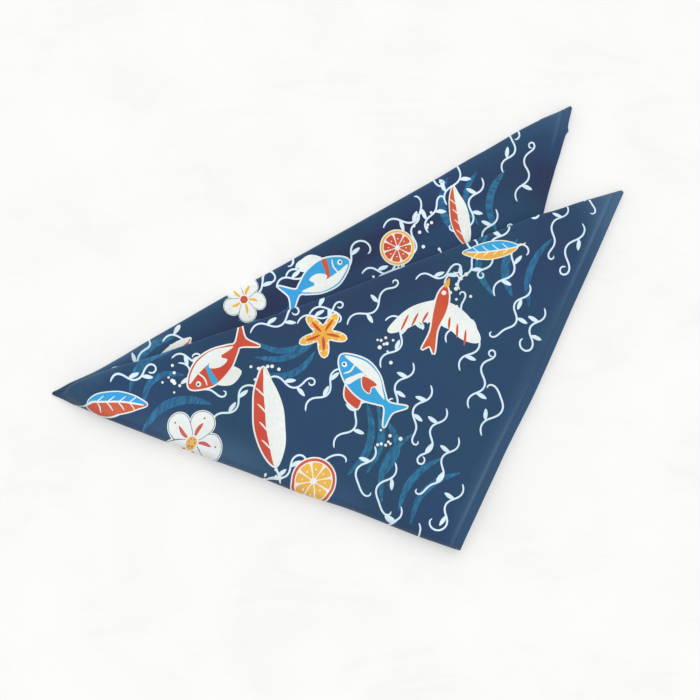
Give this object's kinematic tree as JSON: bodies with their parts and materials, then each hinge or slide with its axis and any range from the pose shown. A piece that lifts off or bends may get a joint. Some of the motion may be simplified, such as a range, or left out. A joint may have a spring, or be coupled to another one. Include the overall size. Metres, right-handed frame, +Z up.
{
  "type": "folded bandana",
  "caption": "Square printed cotton bandana with a narrow turned hem, folded on both diagonals and once more into a slim double-tipped triangle, lying flat.",
  "frame": {"origin": "middle of the part's box in plan, on the surface that it lies on", "axes": "+X to the right in plan, along the longest extent, from the tip where the folds meet; +Y away from the viewer; +Z up out of the surface"},
  "size_m": [0.3584, 0.28, 0.0116],
  "materials": {
    "printed_cotton": "matte printed cotton"
  },
  "bodies": {
    "root": {"bandana": "printed_cotton"}
  },
  "joints": []
}
